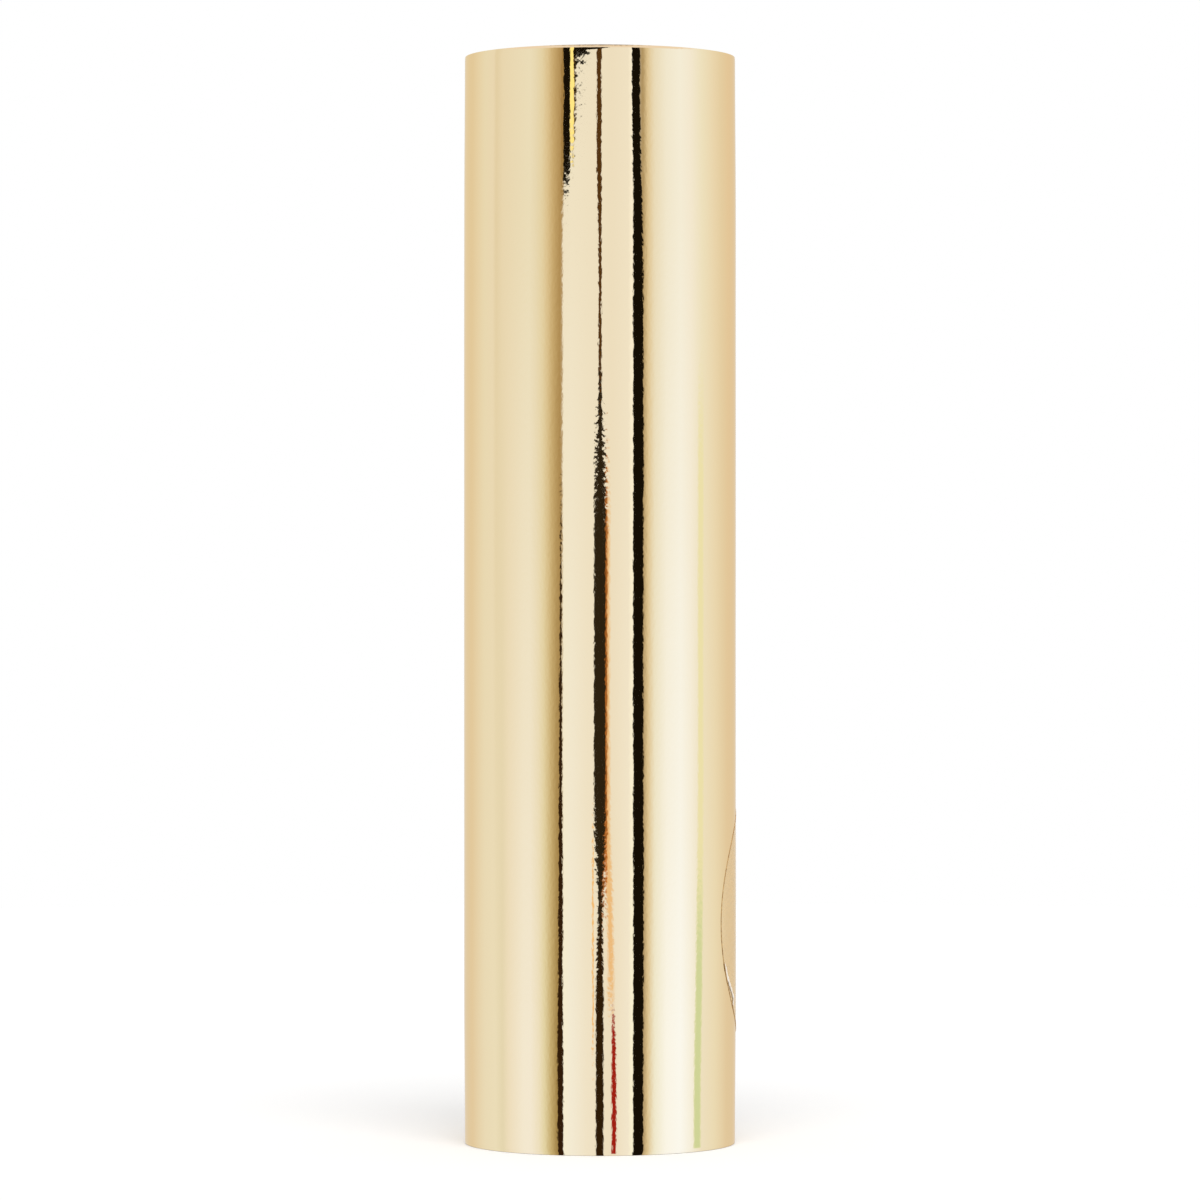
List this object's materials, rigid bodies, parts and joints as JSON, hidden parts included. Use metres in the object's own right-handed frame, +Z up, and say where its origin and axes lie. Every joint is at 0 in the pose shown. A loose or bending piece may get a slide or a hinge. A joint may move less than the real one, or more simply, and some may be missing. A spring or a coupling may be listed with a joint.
{
  "type": "foil roll",
  "caption": "Roll of gold hot-stamping foil: metallised film wound on a hollow paperboard core, its tail edge held by a clear round seal.",
  "frame": {"origin": "on the axis of the core's bore, in the plane of the roll's lower end", "axes": "+Z up along the roll's axis; -Y is the front; the tail edge and the seal lie 23 degrees from +X towards +Y"},
  "size_m": [0.0319, 0.0318, 0.127],
  "materials": {
    "gold_film": "polished",
    "core_board": "matte",
    "core_liner": "matte",
    "adhesive_tape": "satin",
    "clear_seal": "gloss"
  },
  "bodies": {
    "root": {"core_bore_ply": "core_liner", "core_second_ply": "core_board", "core_middle_ply": "core_board", "core_fourth_ply": "core_board", "core_surface_ply": "core_board", "start_tape": "adhesive_tape", "foil_web": "gold_film", "round_seal": "clear_seal"}
  },
  "joints": []
}
